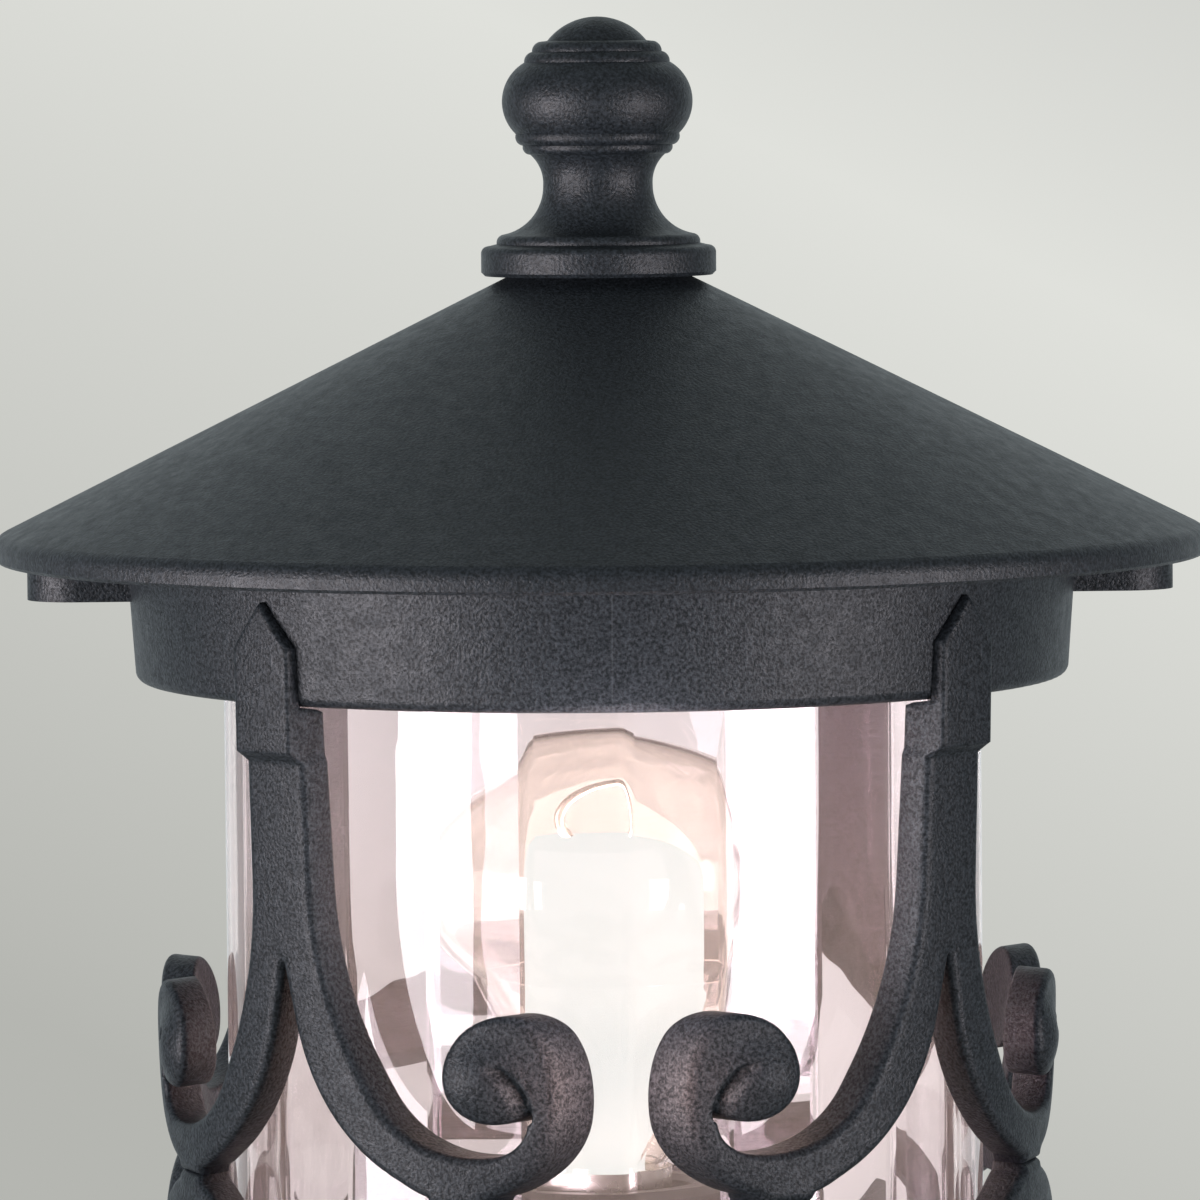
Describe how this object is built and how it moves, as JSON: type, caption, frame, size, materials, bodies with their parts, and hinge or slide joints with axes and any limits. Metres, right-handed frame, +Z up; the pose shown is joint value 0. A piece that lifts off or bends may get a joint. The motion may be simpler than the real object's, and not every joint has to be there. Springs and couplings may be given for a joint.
{
  "type": "pier mount lantern",
  "caption": "Cast pier mount lantern with conical roof, turned finial, faceted glass in scrolled straps and a flanged pedestal; the roof lifts off and the lamp unscrews.",
  "frame": {"origin": "centre of the base's underside", "axes": "+Z up along the lantern's axis; straps stand on the X and Y axes, roof lugs on the diagonals between +X and +Y and between -X and -Y"},
  "size_m": [0.23, 0.23, 0.4299],
  "materials": {
    "powder_coat": "matte",
    "stainless_steel": "satin",
    "zinc_steel": "satin",
    "brass": "satin",
    "clear_glass": "gloss",
    "lamp_glass": "gloss",
    "lamp_light": "gloss",
    "lamp_nickel": "satin",
    "rubber": "matte",
    "black_moulding": "satin",
    "ceramic": "satin",
    "nylon": "satin",
    "lead_sheath": "matte"
  },
  "bodies": {
    "lantern": {"base": "powder_coat", "base_nut": "zinc_steel", "base_washer": "zinc_steel", "bottom_gasket": "rubber", "bottom_ring": "powder_coat", "earth_screw": "brass", "glass_cylinder": "clear_glass", "holder_base": "black_moulding", "holder_body": "black_moulding", "holder_contact": "brass", "holder_insulator": "ceramic", "holder_shell": "brass", "lamp_lead": "lead_sheath", "lamp_post": "powder_coat", "lower_strap_front_left": "powder_coat", "lower_strap_front_right": "powder_coat", "lower_strap_rear_left": "powder_coat", "lower_strap_rear_right": "powder_coat", "lower_strap_screws": "stainless_steel", "stem": "powder_coat", "strap_dowels": "stainless_steel", "terminal_block": "nylon", "terminal_screws": "zinc_steel", "threaded_tube": "zinc_steel", "top_gasket": "rubber", "top_ring": "powder_coat", "tray": "powder_coat", "tray_nut": "zinc_steel", "tray_screws": "stainless_steel", "tray_washer": "zinc_steel", "upper_strap_front_left": "powder_coat", "upper_strap_front_right": "powder_coat", "upper_strap_rear_left": "powder_coat", "upper_strap_rear_right": "powder_coat", "upper_strap_screws": "stainless_steel"},
    "roof": {"roof": "powder_coat", "finial": "powder_coat", "finial_stud": "stainless_steel", "finial_washer": "stainless_steel", "finial_nut": "stainless_steel"},
    "lamp_carrier": {"lamp_contact": "brass"},
    "lamp": {"lamp_insulator": "ceramic", "lamp_cap": "lamp_nickel", "lamp_envelope": "lamp_glass", "lamp_capsule": "lamp_light", "lamp_wires": "lamp_nickel"},
    "roof_screw_left": {"roof_screw_left": "stainless_steel", "screw_cup_left": "nylon"},
    "roof_screw_right": {"roof_screw_right": "stainless_steel", "screw_cup_right": "nylon"}
  },
  "joints": [
    {"name": "roof_lift", "type": "slide", "parent": "lantern", "child": "roof", "axis": [0, 0, 1], "range_m": [0, 0.15]},
    {"name": "lamp_rise", "type": "slide", "parent": "lantern", "child": "lamp_carrier", "axis": [0, 0, 1], "range_m": [0, 0.011]},
    {"name": "lamp_turn", "type": "hinge", "parent": "lamp_carrier", "child": "lamp", "pos_m": [0, 0, 0.183], "axis": [0, 0, 1], "range_deg": [0, 1080]},
    {"name": "roof_screw_left_out", "type": "slide", "parent": "lantern", "child": "roof_screw_left", "axis": [0, 0, -1], "range_m": [0, 0.009]},
    {"name": "roof_screw_right_out", "type": "slide", "parent": "lantern", "child": "roof_screw_right", "axis": [0, 0, -1], "range_m": [0, 0.009]}
  ],
  "couplings": [
    {"joint": "lamp_rise", "follows": "lamp_turn", "m_per_rad": 0.00057757}
  ]
}
